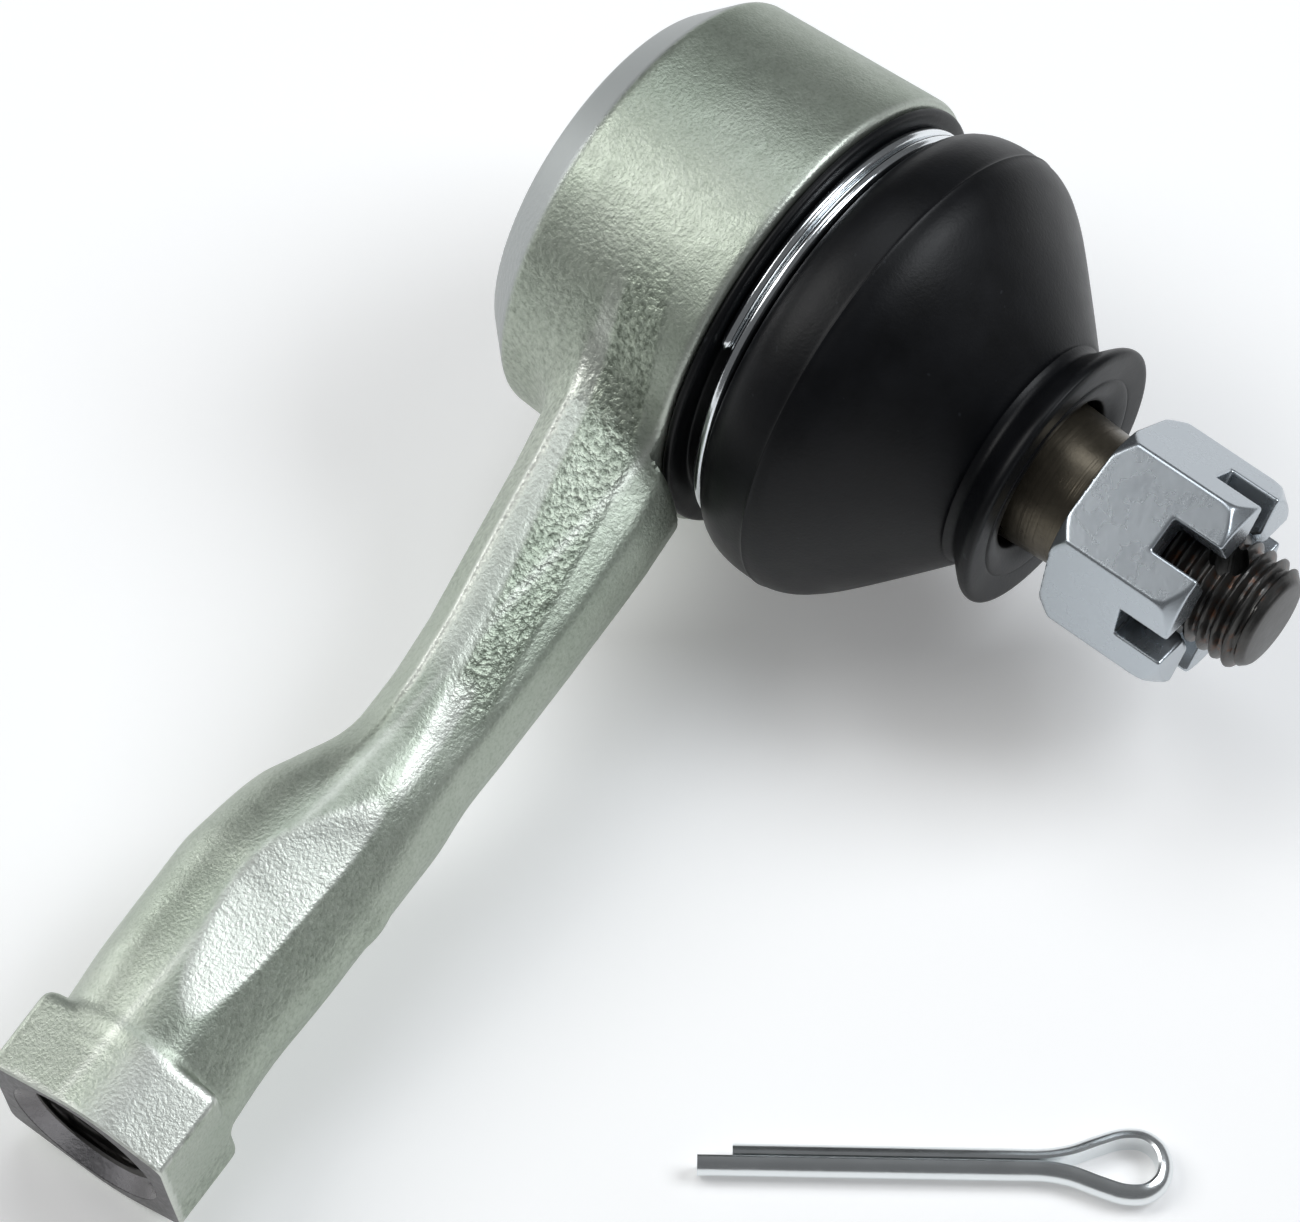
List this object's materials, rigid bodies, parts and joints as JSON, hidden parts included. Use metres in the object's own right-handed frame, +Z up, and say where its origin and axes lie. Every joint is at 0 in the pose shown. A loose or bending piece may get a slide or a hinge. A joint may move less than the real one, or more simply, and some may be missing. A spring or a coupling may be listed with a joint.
{
  "type": "tie rod end",
  "caption": "Steering tie rod end: forged socket arm with female rod thread, booted ball stud with castle nut, and a loose cotter pin.",
  "frame": {"origin": "centre of the ball in its socket", "axes": "+Y along the stud towards its threaded end; +Z up from the bench the part lies on; the arm leaves towards +X, leaning 4.6 degrees to +Y and drooping 7.85 degrees to the bench"},
  "size_m": [0.1135, 0.09, 0.0418],
  "materials": {
    "forged_steel": "shot-blasted and silver-green plated",
    "cap_steel": "plated sheet",
    "stud_steel": "turned, oiled, dark brown",
    "zinc": "bright bluish zinc",
    "spring_steel": "bright wire",
    "acetal": "natural",
    "boot_rubber": "satin black"
  },
  "bodies": {
    "housing": {"housing": "forged_steel", "end_cap": "cap_steel", "preload_spring": "spring_steel", "boot_clamp_ring": "zinc", "dust_boot": "boot_rubber"},
    "seat": {"lower_seat": "acetal"},
    "bearing": {"upper_seat": "acetal"},
    "neck": {"boot_neck_ring": "spring_steel"},
    "stud": {"ball_stud": "stud_steel"},
    "nut": {"castle_nut": "zinc"},
    "pin": {"cotter_pin": "zinc"}
  },
  "joints": [
    {"name": "seat_take_up", "type": "slide", "parent": "housing", "child": "seat", "axis": [0, -1, 0], "range_m": [0, 0.0004], "stiffness_N_per_m": 60000, "springref_m": -0.0025, "deforming": ["preload_spring"]},
    {"name": "bearing_turn", "type": "hinge", "parent": "housing", "child": "bearing", "pos_m": [0, 0, 0], "axis": [0, 1, 0], "continuous": true},
    {"name": "stud_tilt", "type": "hinge", "parent": "bearing", "child": "neck", "pos_m": [0, 0, 0], "axis": [0, 0, 1], "range_deg": [-24, 24], "deforming": ["dust_boot"]},
    {"name": "stud_spin", "type": "hinge", "parent": "neck", "child": "stud", "pos_m": [0, 0, 0], "axis": [0, 1, 0], "continuous": true},
    {"name": "nut_turn", "type": "hinge", "parent": "stud", "child": "nut", "pos_m": [0, 0.042, 0], "axis": [0, 1, 0], "continuous": true},
    {"name": "pin_lift", "type": "slide", "parent": "housing", "child": "pin", "axis": [0, 0, 1], "range_m": [0, 0.06]}
  ]
}
